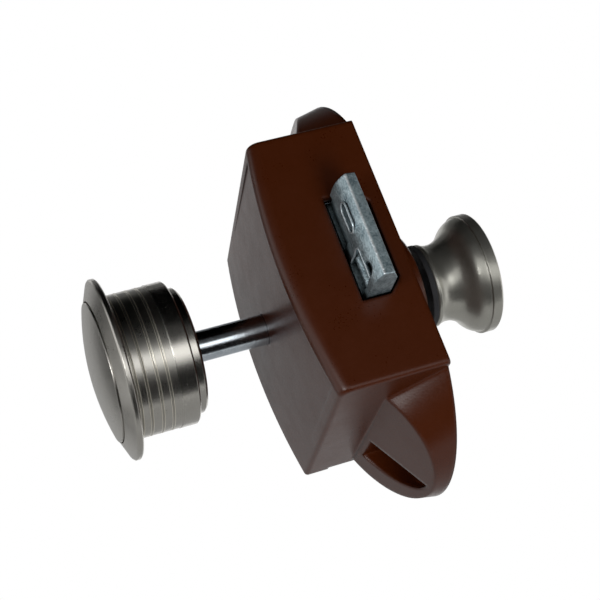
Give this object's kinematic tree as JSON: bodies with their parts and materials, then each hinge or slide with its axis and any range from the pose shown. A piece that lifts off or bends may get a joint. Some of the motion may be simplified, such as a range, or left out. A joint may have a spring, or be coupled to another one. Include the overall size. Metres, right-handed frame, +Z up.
{
  "type": "bathroom door lock",
  "caption": "Surface-mounted bathroom door lock: sprung latch bolt in a bowed housing with screw ears, a sliding spindle, a push button in a rosette and a trumpet knob.",
  "frame": {"origin": "on the flat door face of the housing, at the axis of the spigot and of the spindle", "axes": "+X along the spindle from the push button to the knob, +Z up along the body, -Y the way the bolt leaves"},
  "size_m": [0.0853, 0.0598, 0.0856],
  "materials": {
    "body_plastic": "satin, moulded, dark chocolate brown",
    "plate_plastic": "satin, moulded, dark chocolate brown",
    "bolt_metal": "bare die casting, blue-grey and mottled",
    "sheet_metal": "bright zinc plated",
    "spindle_metal": "bright plated",
    "wire_metal": "drawn spring wire",
    "trim_metal": "satin nickel plate over a die casting",
    "screw_metal": "zinc plated",
    "grub_metal": "blackened",
    "track_plastic": "natural acetal",
    "bumper_rubber": "matt black"
  },
  "bodies": {
    "body": {"housing": "body_plastic", "back_plate": "plate_plastic", "plate_screws": "screw_metal", "follower_wire": "wire_metal", "drive_spring": "wire_metal", "upper_bolt_spring": "wire_metal", "lower_bolt_spring": "wire_metal"},
    "plunger": {"spindle": "spindle_metal", "cross_pin": "spindle_metal", "thrust_washer": "sheet_metal", "button": "trim_metal", "lock_nut": "screw_metal", "knob": "trim_metal", "grub_screw": "grub_metal", "bumper_ring": "bumper_rubber"},
    "rosette_ring": {"rosette": "trim_metal"},
    "draw": {"draw_frame": "sheet_metal", "track_plate": "track_plastic", "track_rivets": "screw_metal"},
    "latch": {"latch_bolt": "bolt_metal"}
  },
  "joints": [
    {"name": "plunger_slide", "type": "slide", "parent": "body", "child": "plunger", "axis": [1, 0, 0], "range_m": [0, 0.01], "deforming": ["drive_spring"]},
    {"name": "draw_slide", "type": "slide", "parent": "body", "child": "draw", "axis": [0, 1, 0], "range_m": [0, 0.0093], "deforming": ["follower_wire"]},
    {"name": "bolt_slide", "type": "slide", "parent": "draw", "child": "latch", "axis": [0, 1, 0], "range_m": [0, 0.0093], "stiffness_N_per_m": 150, "springref_m": -0.02, "deforming": ["upper_bolt_spring", "lower_bolt_spring"]},
    {"name": "rosette_slide", "type": "slide", "parent": "plunger", "child": "rosette_ring", "axis": [1, 0, 0], "range_m": [0, 0.0065]}
  ],
  "couplings": [
    {"joint": "draw_slide", "follows": "plunger_slide", "ratio": 0.93}
  ]
}
